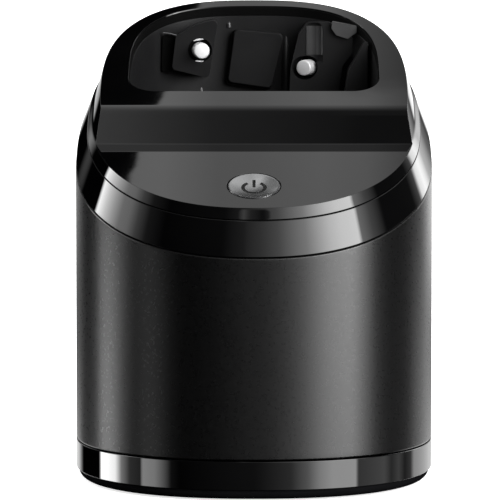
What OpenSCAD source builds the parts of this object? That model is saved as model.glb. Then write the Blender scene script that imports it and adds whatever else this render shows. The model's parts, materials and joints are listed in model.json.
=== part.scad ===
// Cleaning and charging station for an electric shaver.
// X is the width, Y points to the back, Z is up, and the origin is on the surface that the station
// stands on, under the middle of its box. All sizes are in millimetres.

/* [Housing] */
// Width of the housing at its widest section
body_w = 118; // [112:1:124]
// Depth of the housing from front to back
body_d = 133.6; // [128:0.2:140]
// How far the widest section lies in front of the middle
widest_forward = 4; // [2:0.5:6]
// Superellipse exponent of the front half of the outline
front_roundness = 2.3; // [2.1:0.05:2.6]
// Superellipse exponent of the rear half of the outline
rear_roundness = 2.66; // [2.4:0.02:2.9]
// Wall thickness of the matt lower shell
shell_wall = 2.4; // [2:0.1:2.6]

/* [Base] */
// Height of the rubber feet below the base pan
foot_h = 0.6; // [0.4:0.1:0.8]
// Bottom edge of the glossy base ring
ring_bottom_z = 3.8; // [3.6:0.1:4]
// Top edge of the glossy base ring
ring_top_z = 13; // [12.8:0.1:13.1]

/* [Sloping top] */
// Slope of the collar, the front face and the tub rim, in degrees
slope_angle = 23.5; // [22:0.5:25]
// Height of the seam between collar and top cover at the front
seam_front_z = 88.5; // [87:0.5:90]
// Height of the collar band
collar_h = 10.2; // [9.5:0.1:11]
// How far the collar narrows from its lower edge to the seam
collar_taper = 3.9; // [3.5:0.1:4.2]
// Height of the front face above the seam plane
face_h = 3.15; // [3:0.05:3.4]
// Height of the tub rim plane above the front face
riser_h = 9; // [8:0.5:10]
// Foot of the riser, measured along Y
riser_foot_y = -21; // [-22:0.5:-19]
// Depth of the riser along Y
riser_d = 5; // [4:0.5:6]
// Radius of the round edge at the top of the riser
riser_top_r = 7; // [5:0.5:8]
// Radius of the hollow at the foot of the riser
riser_foot_r = 0.8; // [0.4:0.2:2]
// Wall thickness of the collar and the top cover
cover_wall = 2.2; // [2:0.1:2.4]

/* [Cleaning tub] */
// Half of the width of the tub mouth
mouth_half_w = 41.8; // [40:0.2:42]
// Front edge of the tub mouth, measured along Y
mouth_front_y = -4.3; // [-5:0.1:-4]
// Rear edge of the tub mouth, measured along Y
mouth_rear_y = 54.5; // [53:0.1:54.5]
// Corner radius at the front of the tub mouth
mouth_corner_r = 9; // [7:0.5:10]
// Height of the tub's inner floor
tub_floor_z = 85; // [85:0.5:87]
// Wall thickness of the tub
tub_wall = 2; // [1.8:0.1:2]

/* [Start button] */
// Diameter of the start button
button_dia = 17; // [16:0.5:18]
// Middle of the start button, measured along Y
button_y = -47.7; // [-48.5:0.1:-47]
// Travel of the start button
button_travel = 1; // [0.6:0.1:1]

/* [Charging pins] */
// Diameter of a charging pin
charge_pin_dia = 5.4; // [5:0.1:5.6]
// Travel of a charging pin
charge_pin_travel = 1.8; // [1:0.1:1.8]

/* [Lift mechanism] */
// Travel of the housing when it is raised to change the cartridge
lift_travel = 52; // [50:1:52]
// Diameter of the guide columns
column_dia = 10; // [9:0.5:10]
// Distance of each guide column from the middle
column_x = 49.5; // [49.4:0.1:49.5]
// Travel of the lift button
lift_button_travel = 2; // [1.5:0.1:2]

/* [Cartridge] */
// Width of the cleaning cartridge
cartridge_w = 84; // [80:1:84]
// Depth of the cleaning cartridge
cartridge_d = 66; // [60:1:66]
// Top of the cartridge cover
cartridge_top_z = 57; // [55:0.5:57]

/* [Hidden] */

$fn = 48;
outline_sides = 96;
clear = 0.3;
big = 200;

// Outline of the housing
half_w = body_w / 2;
front_y = -body_d / 2;
front_semi = body_d / 2 - widest_forward;
rear_semi = body_d / 2 + widest_forward;

// Planes parallel to the slope: each is named by its height above the seam plane
slope = tan(slope_angle);
plateau_h = face_h + riser_h;
roof_drop = cover_wall / cos(slope_angle);

// Draft of the collar and the top cover: height above the seam plane, and inset from the outline.
// The upper two rows lie clear of the roof's own planes.
taper = [[-collar_h, 0], [0, collar_taper], [face_h + 0.1, 5.65], [18, 9.71]];

// Base
pan_bottom_z = foot_h;
pan_floor_z = foot_h + 2;
deck_bottom_z = ring_top_z - 2.5;
deck_top_z = ring_top_z - 0.5;
parting_gap = 0.4;
shell_bottom_z = ring_top_z + parting_gap;
ring_wall = 2.6;
foot_angles = [45, 135, 225, 315];
base_screw_spots = [[-26, -24], [26, -24], [-26, 24], [26, 24]];

// Lift mechanism
column_y = -widest_forward;
column_r = column_dia / 2;
running_gap = 0.08;
sleeve_r = column_r + 1.8;
sleeve_bottom_z = 17;
sleeve_top_z = 95;
sleeve_grip = 22; // how much of the column stays in the sleeve when the housing is raised
column_top_z = sleeve_bottom_z + lift_travel + sleeve_grip;
column_wall = 1.3;

// Chassis deck and what stands on it
chassis_z = 62.5;
chassis_top_z = 65;
chassis_screw_angles = [40, 140, 220, 320];
chassis_screw_inset = 5.5;
tub_post_spots = [[-30, 8], [30, 8], [-22, 42], [22, 42]];

// Pump and motor
pump_x = -24;
pump_y = -19.5;
pump_r = 17;
pump_z = chassis_top_z + 1.5;
pump_top_z = 76;
nozzle_z = 71;
motor_r = 11;
motor_z = 78;
motor_top_z = 102;
shaft_r = 1.15;
impeller_z = 68.5;
suction_bottom_z = 21;
drain_spot = [24, 20];
tub_inlet_spot = [12, 3];
tub_flange = 2;
rim_drop = 0.8; // the seal lies between the tub rim and the cover
tub_inlet_z = 77;
drain_bottom_z = 51;
drain_r = 5;
drain_bore_r = 3.6;

// Board, parallel to the front face: depths are measured down from the face
board_depth = 14;
board_size = [52, 22, 1.6];
switch_h = 3.6;

// Cartridge filter
filter_top_z = 37;

// Latch and lift button at the rear
latch_y = 54;
latch_z = 33;
latch_pin_r = 1.5;
lift_button_z = 45;
rear_y = body_d / 2;
guide_plate_y = 5.2; // rear face of the plate that guides the lift button, behind the latch pin

// Power inlet at the rear
socket_x = -26;
socket_z = 26;
socket_face_y = 62.4;

// Charging pins: where each tip is, and how far its axis turns from straight forwards
left_tip = [-17.7, 36.5, 138.9];
left_yaw = 8;
right_tip = [16.8, 42, 132.8];
right_yaw = -24;
left_pin_len = 12;
right_pin_len = 7.5;
charge_pin_r = charge_pin_dia / 2;
pin_stem_r = 1.2;
pin_recess_r = charge_pin_r + 1.2;
pin_channel_spot = [20.5, 43];
button_lip_h = 0.2; // above the front face
button_dish_low = -0.35;
button_dish_r = 58;

// Spring wire and hoses
lift_spring_wire = 0.9;
lift_spring_r = 2.7;
lift_spring_turns = 16;
hose_r = 3.6;
hose_route = [
    [0, -19.5, 71], [4, -19.5, 71], [9, -17, 71], [12, -12, 71], [13, -6, 71],
    [12.5, -1, 71.7], [12, 2, 73.5], [12, 3, 75.5], [12, 3, 77],
];
lead_r = 0.8;
lead_route = [
    [0, 0, 0], [0, -2, 3], [3, -6, 3.5], [7, -9, 0], [10, -10.5, -4], [12, -11.5, -9],
];

// ---------------------------------------------------------------------------------------------
// Shapes that several parts share

function signed_power(v, e) = sign(v) * pow(abs(v), e);

// One point of the housing's outline, moved inwards by inset
function outline_point(t, inset = 0) =
    let (at_front = sin(t) < 0)
    let (semi = (at_front ? front_semi : rear_semi) - inset)
    let (e = 2 / (at_front ? front_roundness : rear_roundness))
    [(half_w - inset) * signed_power(cos(t), e), semi * signed_power(sin(t), e) - widest_forward];

function outline_points(inset) =
    [for (i = [0 : outline_sides - 1]) outline_point(360 * i / outline_sides, inset)];

// Height of the plane h above the seam plane
function plane_z(y, h) = seam_front_z + h + slope * (y - front_y);

// Arc of radius r that rounds the corner b between a and c
function corner_arc(a, b, c, r, steps = 6) =
    let (u = (a - b) / norm(a - b), w = (c - b) / norm(c - b))
    let (half = acos(u * w) / 2)
    let (centre = b + (u + w) / norm(u + w) * r / sin(half))
    let (s = b + u * r / tan(half) - centre, e = b + w * r / tan(half) - centre)
    let (start = atan2(s.y, s.x), sweep = atan2(s.x * e.y - s.y * e.x, s * e))
    [for (i = [0 : steps]) centre + r * [cos(start + sweep * i / steps), sin(start + sweep * i / steps)]];

// Mouth of the tub: a straight front edge with round corners, and an arched rear
function mouth_points(inset) =
    let (corner_y = mouth_front_y + mouth_corner_r, r = mouth_corner_r - inset)
    let (corner_x = mouth_half_w - mouth_corner_r, side_y = corner_y + 4)
    let (a = mouth_half_w - inset, b = mouth_rear_y - side_y - inset, e = 2 / 2.9)
    concat(
        [for (t = [0 : 5 : 180]) [a * signed_power(cos(t), e), side_y + b * signed_power(sin(t), e)]],
        [for (t = [180 : 15 : 270]) [r * cos(t) - corner_x, corner_y + r * sin(t)]],
        [for (t = [270 : 15 : 360]) [r * cos(t) + corner_x, corner_y + r * sin(t)]]
    );

function rounded_box_points(w, d, r) =
    [for (q = [0 : 3]) for (t = [0 : 15 : 90])
        let (s = [q == 0 || q == 3 ? 1 : -1, q < 2 ? 1 : -1])
        [s.x * (w / 2 - r) + r * cos(90 * q + t), s.y * (d / 2 - r) + r * sin(90 * q + t)]];

module oval(inset) {
    polygon(outline_points(inset));
}

module oval_plate(inset, z0, z1) {
    translate([0, 0, z0]) linear_extrude(z1 - z0) oval(inset);
}

module mouth_column(inset, z0, z1) {
    translate([0, 0, z0]) linear_extrude(z1 - z0) polygon(mouth_points(inset));
}

module rounded_box(w, d, r, z0, z1) {
    translate([0, 0, z0]) linear_extrude(z1 - z0) polygon(rounded_box_points(w, d, r));
}

// Side profile in Y and Z, extruded right across the housing
module across(points, width = big) {
    rotate([90, 0, 90]) translate([0, 0, -width / 2]) linear_extrude(width) polygon(points);
}

// Everything between two planes parallel to the slope
module slope_slab(h0, h1) {
    edge = big / 2;
    across([
        [-edge, plane_z(-edge, h0)], [edge, plane_z(edge, h0)],
        [edge, plane_z(edge, h1)], [-edge, plane_z(-edge, h1)],
    ]);
}

// A closed skin through rings of the outline: each ring is [height, inset], tilted by tilt
module outline_loft(rings, tilt) {
    n = outline_sides;
    last = len(rings) - 1;
    function lifted(p, h) = [p.x, p.y, h + tilt * (p.y - front_y)];
    centre = [0, -widest_forward];
    points = concat(
        [for (ring = rings) for (p = outline_points(ring[1])) lifted(p, ring[0])],
        [lifted(centre, rings[0][0]), lifted(centre, rings[last][0])]
    );
    sides = [
        for (k = [0 : last - 1]) for (i = [0 : n - 1])
            let (a = k * n + i, b = k * n + (i + 1) % n)
            each [[a, b + n, b], [a, a + n, b + n]]
    ];
    low_end = [for (i = [0 : n - 1]) [i, (i + 1) % n, (last + 1) * n]];
    high_end = [for (i = [0 : n - 1]) [last * n + (i + 1) % n, last * n + i, (last + 1) * n + 1]];
    polyhedron(points, concat(sides, low_end, high_end));
}

// The tapered outside of collar and cover, or its inside when moved in by inset
module tapered_shape(rows, inset = 0, below = 0) {
    first = rows[0];
    rings = concat(
        below > 0 ? [[seam_front_z + taper[first][0] - below, taper[first][1] + inset]] : [],
        [for (k = rows) [seam_front_z + taper[k][0], taper[k][1] + inset]]
    );
    outline_loft(rings, slope);
}

// A round bar that follows a route of points
module swept_bar(route, r, sides = 8) {
    last = len(route) - 1;
    function heading(i) = let (d = route[min(i + 1, last)] - route[max(i - 1, 0)]) d / norm(d);
    points = [
        for (i = [0 : last])
            let (d = heading(i), ref = abs(d.z) < 0.9 ? [0, 0, 1] : [0, 1, 0])
            let (u = cross(ref, d) / norm(cross(ref, d)), v = cross(d, u))
            for (k = [0 : sides - 1])
                route[i] + r * (cos(360 * k / sides) * u + sin(360 * k / sides) * v)
    ];
    skin = [
        for (i = [0 : last - 1]) for (k = [0 : sides - 1])
            let (a = i * sides + k, b = i * sides + (k + 1) % sides)
            each [[a, b + sides, b], [a, a + sides, b + sides]]
    ];
    ends = [[for (k = [0 : sides - 1]) k], [for (k = [sides - 1 : -1 : 0]) last * sides + k]];
    polyhedron(points, concat(skin, ends));
}

// A helical spring that stands on z = 0
module coil_spring(r, wire_r, height, turns, steps = 12) {
    swept_bar(
        [for (i = [0 : turns * steps]) [
            r * cos(360 * i / steps), r * sin(360 * i / steps),
            wire_r + (height - 2 * wire_r) * i / (turns * steps),
        ]],
        wire_r, 5
    );
}

module tube(outer_r, inner_r, z0, z1) {
    translate([0, 0, z0]) difference() {
        cylinder(r = outer_r, h = z1 - z0);
        translate([0, 0, -1]) cylinder(r = inner_r, h = z1 - z0 + 2);
    }
}

module rod(r, z0, z1) {
    translate([0, 0, z0]) cylinder(r = r, h = z1 - z0);
}

module box(x, y, z) {
    translate([x[0], y[0], z[0]]) cube([x[1] - x[0], y[1] - y[0], z[1] - z[0]]);
}

module at_columns() {
    for (s = [-1, 1]) translate([s * column_x, column_y, 0]) children();
}

module at_outline(angles, inset) {
    for (t = angles) translate(concat(outline_point(t, inset), 0)) children();
}

module at_spots(spots) {
    for (p = spots) translate([p.x, p.y, 0]) children();
}

// Local frame on the front face: z is the face's outward normal, y runs up the slope
module on_face() {
    translate([0, button_y, plane_z(button_y, face_h)]) rotate([slope_angle, 0, 0]) children();
}

// Local frame of a charging pin: z runs forwards out of its tip
module on_pin(tip, yaw) {
    translate(tip) rotate([0, 0, yaw]) rotate([90, 0, 0]) children();
}

module screw(head_r, head_h, shank_r, length) {
    rod(shank_r, -length, 0.01);
    difference() {
        rod(head_r, 0, head_h);
        translate([0, 0, head_h / 2]) box([-head_r * 0.6, head_r * 0.6], [-0.35, 0.35], [0, head_h]);
        translate([0, 0, head_h / 2]) box([-0.35, 0.35], [-head_r * 0.6, head_r * 0.6], [0, head_h]);
    }
}

// ---------------------------------------------------------------------------------------------
// Base

module base_pan() {
    color("#141414") difference() {
        union() {
            outline_loft([
                [pan_bottom_z, 3.4], [pan_bottom_z + 0.3, 2.3], [pan_bottom_z + 0.9, 1.4],
                [pan_bottom_z + 1.8, 0.9], [ring_bottom_z, 0.8],
            ], 0);
            oval_plate(ring_wall + 0.1, ring_bottom_z - 0.1, deck_bottom_z);
        }
        difference() {
            oval_plate(ring_wall + 2.1, pan_floor_z, deck_bottom_z + 1);
            at_columns() rod(column_r + 1.4, 0, deck_bottom_z);
            at_spots(base_screw_spots) rod(5, 0, pan_floor_z + 2.4);
        }
        at_columns() rod(column_r + 0.02, pan_floor_z + 3, big);
        at_spots(base_screw_spots) rod(3, 0, pan_floor_z + 0.6);
        at_spots(base_screw_spots) rod(1.6, 0, deck_bottom_z);
        at_outline(foot_angles, 12) rod(6.1, 0, pan_bottom_z + 1);
    }
}

module base_ring() {
    color("#08080a") difference() {
        oval_plate(0, ring_bottom_z, ring_top_z);
        oval_plate(ring_wall, ring_bottom_z - 1, ring_top_z + 1);
    }
}

module base_deck() {
    color("#1c1c1e") difference() {
        union() {
            oval_plate(ring_wall + 0.1, deck_bottom_z, deck_top_z);
            at_spots(base_screw_spots) rod(4, pan_floor_z + 2.4, deck_bottom_z + 0.01);
            // Side rails that guide the cartridge
            for (s = [-1, 1]) {
                x = s * (cartridge_w / 2 + 0.9);
                box([x - 0.6, x + 0.6], [10, 34], [deck_bottom_z, deck_top_z + 5]);
                box([x - 0.6, x + 0.6], [-30, -14], [deck_bottom_z, deck_top_z + 5]);
            }
            // Stop behind which the cartridge comes to rest
            box([-20, 20], [-cartridge_d / 2 - 3.5, -cartridge_d / 2 - 1], [deck_bottom_z, deck_top_z + 8]);
        }
        at_columns() rod(column_r + 0.02, 0, big);
        at_spots(base_screw_spots) rod(1.55, 0, deck_top_z - 0.6);
        box([-8, 8], [latch_y - 2.5, latch_y + 6], [0, big]);
    }
}

module rubber_feet() {
    color("#2a2a2c") at_outline(foot_angles, 12) rod(6, 0, pan_bottom_z + 1);
}

module base_screws() {
    shank = deck_bottom_z - pan_floor_z - 1;
    color("#8f9194") at_spots(base_screw_spots)
        translate([0, 0, pan_floor_z + 0.6]) mirror([0, 0, 1]) screw(2.7, 1.6, 1.5, shank);
}

module guide_columns() {
    color("#b9bbbe") at_columns() {
        tube(column_r, column_r - column_wall, pan_floor_z + 3, column_top_z);
        rod(column_r - column_wall, pan_floor_z + 3, deck_top_z);
        tube(column_r + 1.2, column_r - 1, deck_top_z, deck_top_z + 2);
    }
}

module lift_springs() {
    color("#c9cacc") at_columns() translate([0, 0, deck_top_z])
        coil_spring(lift_spring_r, lift_spring_wire / 2, sleeve_top_z - 2 - deck_top_z, lift_spring_turns);
}

module latch_strike() {
    color("#a8aaad") difference() {
        box([-11, 11], [latch_y - 9, latch_y + 7.5], [deck_bottom_z - 1.2, deck_bottom_z]);
        box([-6, 6], [latch_y - 2, latch_y + 5.5], [0, deck_bottom_z + 1]);
    }
}

module cartridge_tub() {
    color([0.55, 0.62, 0.68]) difference() {
        rounded_box(cartridge_w, cartridge_d, 8, deck_top_z + 0.2, cartridge_top_z - 2.5);
        rounded_box(cartridge_w - 3.2, cartridge_d - 3.2, 6.4, deck_top_z + 1.8, cartridge_top_z);
    }
}

module cartridge_cover() {
    color("#2f6ea5") difference() {
        union() {
            rounded_box(cartridge_w, cartridge_d, 8, cartridge_top_z - 2.5, cartridge_top_z - 0.8);
            rounded_box(cartridge_w - 6, cartridge_d - 6, 5, cartridge_top_z - 1, cartridge_top_z);
        }
        translate([pump_x, pump_y, 0]) rod(5, 0, big);
        translate(concat(drain_spot, 0)) rod(7, 0, big);
    }
}

module cartridge_filter() {
    color("#d8d2c0") box([4, 39], [-26, 28], [deck_top_z + 1.9, filter_top_z]);
}

// ---------------------------------------------------------------------------------------------
// Housing shells

module body_shell() {
    window_y = rear_y - 12;
    color("#252527") difference() {
        union() {
            difference() {
                oval_plate(0, shell_bottom_z, big);
                oval_plate(shell_wall, 0, big + 1);
            }
            // Ledge and bosses that carry the inner chassis
            difference() {
                oval_plate(shell_wall - 0.2, chassis_z - 2.5, chassis_z);
                oval_plate(shell_wall + 2.2, 0, big);
                at_columns() rod(sleeve_r + clear, 0, big);
            }
            at_outline(chassis_screw_angles, chassis_screw_inset) rod(3.4, chassis_z - 12, chassis_z);
        }
        slope_slab(-collar_h, 2 * big);
        at_outline(chassis_screw_angles, chassis_screw_inset) rod(1.35, chassis_z - 10, big);
        box([-12, 12], [window_y, big], [lift_button_z - 8, lift_button_z + 8]);
        box([socket_x - 11, socket_x + 11], [window_y - 3, big], [socket_z - 7, socket_z + 7]);
    }
}

module collar() {
    color("#060608") {
        difference() {
            tapered_shape([0, 1]);
            tapered_shape([0, 1, 2], cover_wall, 0.5);
        }
        intersection() {
            difference() {
                oval_plate(shell_wall + 0.1, 0, big);
                oval_plate(shell_wall + 1.6, -1, big + 1);
            }
            slope_slab(-collar_h - 4, -collar_h + 2.2);
        }
    }
}

// Side profile of the top: front face, riser with round edges, and tub rim plane
function roof_profile(drop) =
    let (edge = big / 2, shift = drop * 0.6)
    let (foot = [riser_foot_y + shift, plane_z(riser_foot_y + shift, face_h - drop)])
    let (top = [riser_foot_y + riser_d + shift, plane_z(riser_foot_y + riser_d + shift, plateau_h - drop)])
    let (front = [-edge, plane_z(-edge, face_h - drop)], rear = [edge, plane_z(edge, plateau_h - drop)])
    concat(
        [[-edge, plane_z(-edge, -1)], [edge, plane_z(edge, -1)], rear],
        corner_arc(rear, top, foot, riser_top_r, 10),
        corner_arc(top, foot, front, riser_foot_r),
        [front]
    );

module top_cover() {
    color("#070709") difference() {
        union() {
            difference() {
                intersection() {
                    tapered_shape([1, 2, 3]);
                    across(roof_profile(0));
                }
                intersection() {
                    tapered_shape([1, 2, 3], cover_wall, 0.5);
                    across(roof_profile(roof_drop));
                }
            }
            // Spigot that locates the cover inside the collar
            intersection() {
                difference() {
                    oval_plate(collar_taper + cover_wall + 0.1, 0, big);
                    oval_plate(collar_taper + cover_wall + 1.6, -1, big + 1);
                }
                slope_slab(-4, 1.9);
            }
        }
        mouth_column(0, 0, big);
        on_face() rod(button_dia / 2 + clear, -10, 10);
    }
}

// ---------------------------------------------------------------------------------------------
// Cleaning tub and charging pins

module cleaning_tub() {
    rim_h = plateau_h - roof_drop - rim_drop;
    color("#161618") difference() {
        union() {
            mouth_column(0.4 - tub_wall, tub_floor_z - tub_wall, big);
            intersection() {
                mouth_column(-tub_flange, 0, big);
                slope_slab(rim_h - 1.6, rim_h + 1);
            }
            translate(concat(tub_inlet_spot, 0)) rod(3, tub_inlet_z, tub_floor_z - tub_wall + 0.1);
        }
        mouth_column(0.4, tub_floor_z, big + 1);
        slope_slab(rim_h, 2 * big);
        translate(concat(tub_inlet_spot, 0)) rod(1.8, tub_inlet_z - 1, tub_floor_z + 1);
        translate(concat(drain_spot, 0)) rod(drain_bore_r, tub_inlet_z - 1, tub_floor_z + 1);
        on_pin(left_tip, left_yaw) rod(pin_stem_r + running_gap, -40, 0);
        on_pin(right_tip, right_yaw) rod(pin_stem_r + running_gap, -40, 0);
    }
}

module tub_gasket() {
    color("#3a3a3c") intersection() {
        difference() {
            mouth_column(-tub_flange, 0, big);
            mouth_column(-0.2, -1, big + 1);
        }
        slope_slab(plateau_h - roof_drop - rim_drop, plateau_h - roof_drop);
    }
}

// A raised block on the tub's rear wall, given by the corners of its front face in X and Z
module rear_block(corners, face_y) {
    intersection() {
        translate([0, big / 2, 0]) rotate([90, 0, 0]) linear_extrude(big / 2 - face_y) polygon(corners);
        mouth_column(0.45, 0, big);
    }
}

// The hole that a charging pin slides in, with a recess around its mouth
module pin_bore(tip, yaw, pin_len, recess_depth) {
    on_pin(tip, yaw) {
        rod(charge_pin_r + running_gap, -pin_len - charge_pin_travel - 0.3, 0);
        rod(pin_stem_r + running_gap, -40, 0);
        rod(pin_recess_r, -recess_depth, 20);
    }
}

module tub_rear_plate() {
    color("#1f1f21") rear_block([[-7.2, 145.3], [9.6, 143.6], [5.5, 125.4], [-9.6, 127.4]], 50.2);
}

module contact_block_left() {
    color("#19191b") difference() {
        rear_block([[-31, 143], [-27, 144], [-12.6, 149.2], [-15.7, 129], [-29, 132.5], [-31, 132]], 41.5);
        pin_bore(left_tip, left_yaw, left_pin_len, 6.5);
    }
}

module contact_block_right() {
    corners = [[13.4, 147], [36, 144.5], [33.5, 137.5], [30.6, 133.5], [29, 123], [10, 123], [10.6, 135]];
    color("#19191b") difference() {
        rear_block(corners, 43);
        pin_bore(right_tip, right_yaw, right_pin_len, 5.5);
        // Half-round channel above the pin
        translate(concat(pin_channel_spot, 0)) rod(3.1, right_tip.z, big);
        on_pin(right_tip, right_yaw) translate([-12, -20, -2]) cube([24, 40, 20]);
    }
}

module pin_seals() {
    color("#4a4a4d") {
        on_pin(left_tip, left_yaw) tube(pin_recess_r - 0.1, charge_pin_r + running_gap, -6.4, -5.3);
        on_pin(right_tip, right_yaw) tube(pin_recess_r - 0.1, charge_pin_r + running_gap, -5.4, -4.5);
    }
}

module charge_pin(length) {
    color("#e4e5e6") {
        rod(pin_stem_r, -length - 6, -length + 0.1);
        rod(charge_pin_r, -length, -1.4);
        intersection() {
            translate([0, 0, -4.6]) sphere(r = 4.6);
            rod(charge_pin_r, -1.5, 0.1);
        }
    }
}

module contact_pin_left() {
    on_pin(left_tip, left_yaw) charge_pin(left_pin_len);
}

module contact_pin_right() {
    on_pin(right_tip, right_yaw) charge_pin(right_pin_len);
}

// ---------------------------------------------------------------------------------------------
// Chassis, pump and electrics

module chassis_sleeve() {
    difference() {
        rod(sleeve_r, sleeve_bottom_z, sleeve_top_z);
        rod(column_r + running_gap, 0, sleeve_top_z - 2);
    }
}

module inner_chassis() {
    ear_y = [latch_y - 4, latch_y + 4];
    color("#34343a") difference() {
        union() {
            difference() {
                oval_plate(shell_wall + 0.5, chassis_z, chassis_top_z);
                at_columns() rod(sleeve_r - 0.5, 0, big);
            }
            at_columns() chassis_sleeve();
            at_spots(tub_post_spots) rod(3, chassis_top_z - 0.1, tub_floor_z - tub_wall);
            // Ears that carry the latch pin, and the plate that guides the lift button
            for (s = [-1, 1]) box([s * 7 - 1, s * 7 + 1], ear_y, [latch_z - 4, chassis_z + 0.1]);
            box([-8, 8], [latch_y + 4, latch_y + guide_plate_y], [lift_button_z - 5, chassis_z + 0.1]);
            // Walls that carry the board
            intersection() {
                for (s = [-1, 1]) box([s * 22 - 1, s * 22 + 1], [-52, -38], [chassis_top_z - 0.1, big]);
                on_face() translate([-big / 2, -big / 2, -big - board_depth - board_size.z]) cube(big);
            }
        }
        at_outline(chassis_screw_angles, chassis_screw_inset) rod(1.7, chassis_z - 1, chassis_top_z + 1);
        translate([pump_x, pump_y, 0]) rod(3.9, 0, chassis_top_z + 1);
        translate(concat(drain_spot, 0)) rod(5.4, 0, chassis_top_z + 1);
        translate([0, latch_y, latch_z]) rotate([0, 90, 0]) rod(latch_pin_r + 0.02, -20, 20);
        translate([0, 0, lift_button_z]) rotate([-90, 0, 0]) rod(2.3, latch_y, rear_y);
        at_board_screws() rod(1.1, -9, 0);
    }
}

module at_board_screws() {
    on_face() for (s = [-1, 1]) translate([s * 22, 0, -board_depth]) children();
}

module chassis_screws() {
    color("#8f9194") at_outline(chassis_screw_angles, chassis_screw_inset)
        translate([0, 0, chassis_top_z]) screw(2.6, 1.5, 1.3, 9);
}

module main_board() {
    color("#1f5a3a") on_face() difference() {
        translate([-board_size.x / 2, -board_size.y / 2, -board_depth - board_size.z]) cube(board_size);
        for (s = [-1, 1]) translate([s * 22, 0, -board_depth - 5]) cylinder(r = 1.4, h = 10);
    }
}

module board_screws() {
    color("#8f9194") at_board_screws() screw(2.2, 1.2, 1.05, 8);
}

module start_switch() {
    color("#3c3c40") on_face() {
        translate([-3, -3, -board_depth]) cube([6, 6, switch_h - 0.6]);
        rod(1.6, switch_h - 0.7 - board_depth, switch_h - board_depth);
    }
}

module motor_can() {
    color("#a5a7aa") translate([pump_x, pump_y, 0]) difference() {
        union() {
            rod(motor_r, motor_z, motor_top_z - 2);
            rod(4, pump_top_z, motor_z + 0.1);
        }
        rod(shaft_r + 0.05, 0, motor_z + 10);
    }
}

module motor_end_cap() {
    color("#e0ddd2") translate([pump_x, pump_y, 0]) {
        rod(motor_r - 0.5, motor_top_z - 2, motor_top_z);
        for (x = [-5, 5]) box([x - 0.4, x + 0.4], [-1.2, 1.2], [motor_top_z - 0.1, motor_top_z + 1.6]);
    }
}

module pump_housing() {
    color("#4a4d52") translate([pump_x, pump_y, 0]) difference() {
        union() {
            rod(pump_r, pump_z, pump_top_z);
            translate([0, 0, nozzle_z]) rotate([0, 90, 0]) rod(3, 0, -pump_x);
        }
        rod(pump_r - 1.8, 0, pump_top_z - 2);
        rod(shaft_r + 0.05, 0, big);
        translate([0, 0, nozzle_z]) rotate([0, 90, 0]) rod(1.8, 0, big);
    }
}

module pump_cover() {
    color("#3d4045") translate([pump_x, pump_y, 0]) difference() {
        union() {
            rod(pump_r, chassis_top_z, pump_z);
            rod(2.15, chassis_z - 5.5, pump_z);
        }
        rod(1.4, 0, big);
    }
}

module suction_tube() {
    color("#9aa0a6") translate([pump_x, pump_y, 0]) tube(3.5, 2.2, suction_bottom_z, chassis_top_z);
}

module pressure_hose() {
    color("#d4d6d8") swept_bar(hose_route, hose_r);
}

module drain_spout() {
    color("#2b2b2e") translate(concat(drain_spot, 0))
        tube(drain_r, drain_bore_r, drain_bottom_z, tub_floor_z - tub_wall);
}

module motor_leads() {
    color("#9c2f2a") for (s = [-1, 1])
        translate([pump_x + s * 5, pump_y - 2.4, motor_top_z + 0.9])
            swept_bar([for (p = lead_route) [p.x * 0.5 + s * p.x * 0.1, p.y, p.z * 0.6]], lead_r, 6);
}

module impeller() {
    color("#d9dadb") translate([pump_x, pump_y, impeller_z]) difference() {
        union() {
            cylinder(r = 3, h = 5);
            cylinder(r = 12.5, h = 0.8);
            for (k = [0 : 5]) rotate([0, 0, 60 * k]) translate([2, -0.5, 0]) cube([10.5, 1, 4]);
        }
        translate([0, 0, -1]) cylinder(r = shaft_r, h = 8);
    }
}

module motor_shaft() {
    color("#c4c6c8") translate([pump_x, pump_y, 0]) rod(shaft_r, impeller_z, motor_z + 9.5);
}

// ---------------------------------------------------------------------------------------------
// Start button, lift button, latch and power inlet

module start_button() {
    r = button_dia / 2;
    switch_top = switch_h - board_depth;
    color("#3b3c3f") on_face() difference() {
        union() {
            rod(r, -4.4, button_lip_h);
            rod(r + 1.4, -4.4, -roof_drop - 0.6);
            rod(2, switch_top + button_travel + 0.4, -3);
        }
        // Shallow dish for the fingertip
        translate([0, 0, button_dish_low + button_dish_r]) sphere(r = button_dish_r, $fn = 144);
        difference() {
            rod(r - 1.5, -6, -2.2);
            rod(2, -8, 0);
        }
    }
}

module lift_button() {
    flange_y = latch_y + guide_plate_y + lift_button_travel + 0.4;
    color("#2c2c2e") {
        difference() {
            union() {
                box([-9.6, 9.6], [flange_y, rear_y - 0.8], [lift_button_z - 5.6, lift_button_z + 5.6]);
                box([-10.8, 10.8], [flange_y, flange_y + 1.2], [lift_button_z - 6.8, lift_button_z + 6.8]);
            }
            box([-8.2, 8.2], [flange_y - 1, rear_y - 2.2], [lift_button_z - 4.3, lift_button_z + 4.3]);
        }
        translate([0, 0, lift_button_z]) rotate([-90, 0, 0]) rod(2, latch_y + 2.1, rear_y - 2.1);
    }
}

module lift_button_bezel() {
    color("#08080a") difference() {
        box([-11.9, 11.9], [rear_y - 3.6, rear_y - 0.4], [lift_button_z - 7.9, lift_button_z + 7.9]);
        box([-9.9, 9.9], [0, big], [lift_button_z - 5.9, lift_button_z + 5.9]);
    }
}

module button_spring() {
    color("#c9cacc") translate([0, latch_y + 5.25, lift_button_z]) rotate([-90, 0, 0])
        coil_spring(3.1, 0.35, 3.2, 3);
}

module latch_pin() {
    color("#c4c6c8") translate([0, latch_y, latch_z]) rotate([0, 90, 0]) rod(latch_pin_r, -9, 9);
}

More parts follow.
